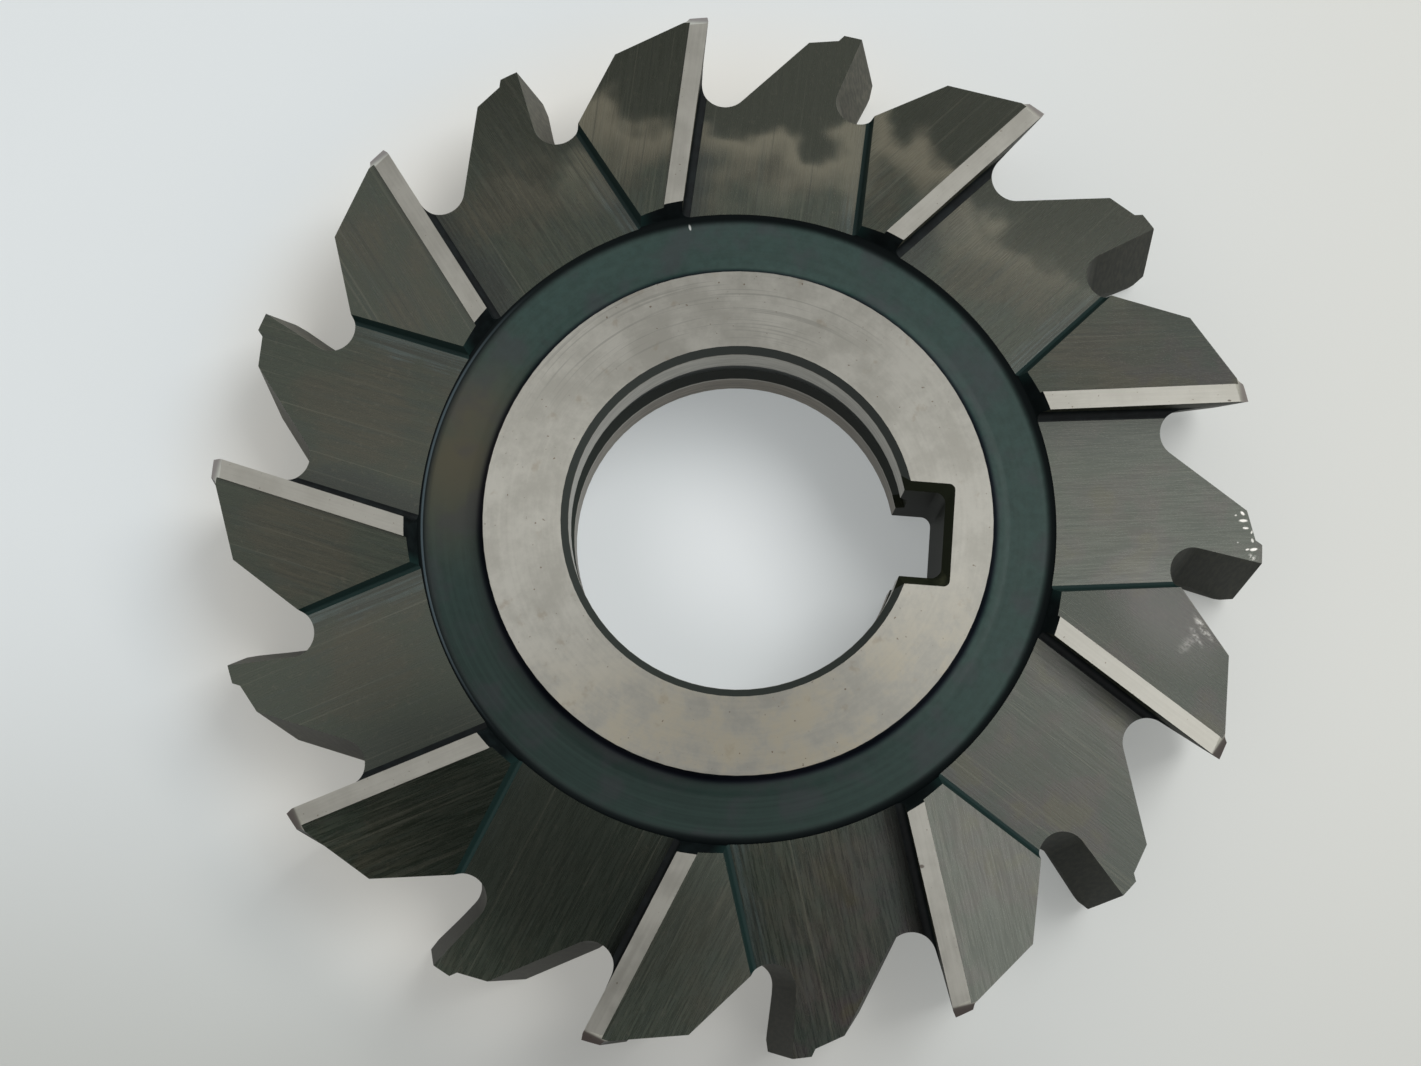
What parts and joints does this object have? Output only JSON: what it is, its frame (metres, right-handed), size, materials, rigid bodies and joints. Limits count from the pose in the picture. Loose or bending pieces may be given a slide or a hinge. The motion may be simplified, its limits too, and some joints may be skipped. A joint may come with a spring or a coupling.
{
  "type": "staggered-tooth side milling cutter",
  "caption": "Disc-shaped milling cutter with alternately slanted teeth that cut on the rim and on both sides, a central hub and a keyed arbor bore.",
  "frame": {"origin": "on the axis of the bore, half way between the two hub faces", "axes": "+Z along the bore, towards the face in the picture; +X from the axis to the middle of the keyway; seen from +Z the teeth point clockwise"},
  "size_m": [0.1, 0.099, 0.016],
  "materials": {
    "tool_steel": "dark oxide with fine grinding lines; hub faces, side lands and bore ground bright"
  },
  "bodies": {
    "root": {"milling_cutter": "tool_steel"}
  },
  "joints": []
}
